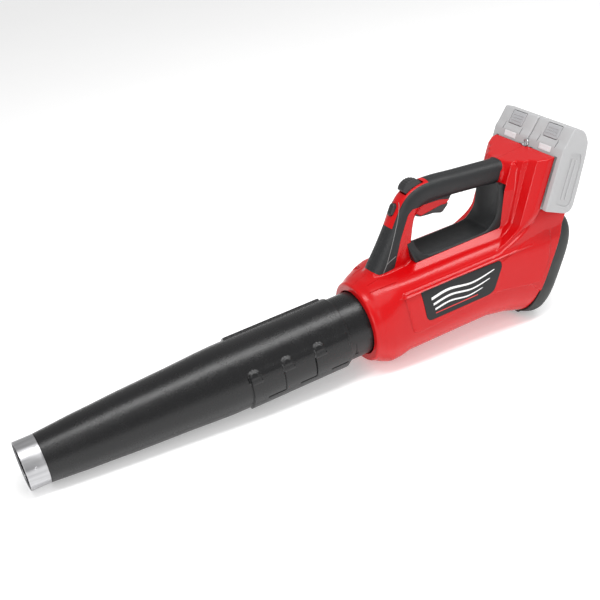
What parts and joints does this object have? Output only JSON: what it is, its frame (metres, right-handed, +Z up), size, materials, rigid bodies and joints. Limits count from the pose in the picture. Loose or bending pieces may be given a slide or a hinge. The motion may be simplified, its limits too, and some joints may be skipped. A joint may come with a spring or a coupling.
{
  "type": "leaf blower",
  "caption": "Cordless leaf blower with a loop handle, axial fan, telescopic blow tube and slide-in battery packs.",
  "frame": {"origin": "centre of the rear foot's flat underside, on the floor the machine stands on", "axes": "+X towards the battery end, away from the nozzle; +Y to the machine's right; +Z up"},
  "size_m": [0.8583, 0.156, 0.2888],
  "materials": {
    "badge_black": "smooth black plate with a plain airflow mark",
    "inner_grey": "grey glass-filled nylon",
    "cover_black": "fine-textured black plastic",
    "lead_black": "insulated lead",
    "pack_grey": "pale grey pack casing",
    "control_red": "glossy red trim strip",
    "board_green": "circuit board",
    "heatsink": "aluminium heat sink",
    "steel": "bright zinc-plated steel",
    "grip_rubber": "dark grey soft-touch overmould",
    "housing_red": "glossy moulded ABS, bright red",
    "tube_black": "fine-grained satin black tube plastic",
    "copper": "copper windings on steel laminations",
    "nozzle_steel": "brushed stainless ring",
    "control_black": "satin black control"
  },
  "bodies": {
    "housing": {"badge_left": "badge_black", "badge_right": "badge_black", "battery_contacts_left": "inner_grey", "battery_contacts_right": "inner_grey", "battery_dock": "cover_black", "battery_lead_left": "lead_black", "battery_lead_right": "lead_black", "control_strip": "control_red", "controller_board": "board_green", "controller_heatsink": "heatsink", "fan_duct": "inner_grey", "flow_guide": "inner_grey", "front_bearing": "steel", "handle_opening_liner": "grip_rubber", "housing_left": "housing_red", "housing_right": "housing_red", "housing_screw_1": "steel", "housing_screw_2": "steel", "housing_screw_3": "steel", "housing_screw_4": "steel", "housing_screw_5": "steel", "housing_screw_6": "steel", "inner_air_tube": "tube_black", "lever_pin": "steel", "motor_stator": "copper", "power_switch": "inner_grey", "rear_bearing": "steel", "rear_intake_cover": "cover_black", "soft_grip_left": "grip_rubber", "soft_grip_right": "grip_rubber", "strap_eyelet": "steel", "switch_lead": "lead_black", "trigger_pin": "steel", "trigger_spring": "steel", "turbo_switch": "inner_grey"},
    "tube_slider": {"tube_seal_ring": "grip_rubber"},
    "blow_tube": {"nozzle_tube": "tube_black", "nozzle_ring": "nozzle_steel", "nozzle_inner_sleeve": "tube_black"},
    "fan": {"motor_shaft": "steel", "motor_rotor": "steel", "impeller": "inner_grey", "fan_nut": "steel"},
    "trigger": {"trigger": "control_black"},
    "speed_lever": {"speed_lever": "control_black"},
    "turbo_button": {"turbo_button": "control_black"},
    "battery_left": {"battery_pack_left": "pack_grey"},
    "battery_right": {"battery_pack_right": "pack_grey"},
    "battery_latch_left": {"battery_release_left": "inner_grey"},
    "battery_latch_right": {"battery_release_right": "inner_grey"}
  },
  "joints": [
    {"name": "tube_extend", "type": "slide", "parent": "housing", "child": "tube_slider", "axis": [-0.9979, 0, -0.0648], "range_m": [0, 0.1]},
    {"name": "tube_unlock_twist", "type": "hinge", "parent": "tube_slider", "child": "blow_tube", "pos_m": [-0.47446, 0, 0.05337], "axis": [-0.9979, 0, -0.0648], "range_deg": [0, 28]},
    {"name": "fan_spin", "type": "hinge", "parent": "housing", "child": "fan", "pos_m": [-0.05534, 0, 0.08058], "axis": [0.9979, 0, 0.0648], "continuous": true},
    {"name": "trigger_squeeze", "type": "hinge", "parent": "housing", "child": "trigger", "pos_m": [-0.16806, 0, 0.21155], "axis": [0, -1, 0], "range_deg": [0, 7], "stiffness_Nm_per_rad": 1.2, "springref_deg": -11.46, "deforming": ["trigger_spring"]},
    {"name": "speed_lever_swing", "type": "hinge", "parent": "housing", "child": "speed_lever", "pos_m": [-0.16936, 0, 0.23151], "axis": [0, 1, 0], "range_deg": [0, 30]},
    {"name": "turbo_press", "type": "slide", "parent": "housing", "child": "turbo_button", "axis": [0.8806, 0, -0.4739], "range_m": [0, 0.0018], "stiffness_N_per_m": 400, "springref_m": -0.002},
    {"name": "battery_slide_left", "type": "slide", "parent": "housing", "child": "battery_left", "axis": [0.3532, 0, 0.9355], "range_m": [0, 0.12]},
    {"name": "battery_slide_right", "type": "slide", "parent": "housing", "child": "battery_right", "axis": [0.3532, 0, 0.9355], "range_m": [0, 0.12]},
    {"name": "battery_latch_press_left", "type": "slide", "parent": "battery_left", "child": "battery_latch_left", "axis": [0.8025, 0, -0.5966], "range_m": [0, 0.003], "stiffness_N_per_m": 400, "springref_m": -0.002},
    {"name": "battery_latch_press_right", "type": "slide", "parent": "battery_right", "child": "battery_latch_right", "axis": [0.8025, 0, -0.5966], "range_m": [0, 0.003], "stiffness_N_per_m": 400, "springref_m": -0.002}
  ]
}
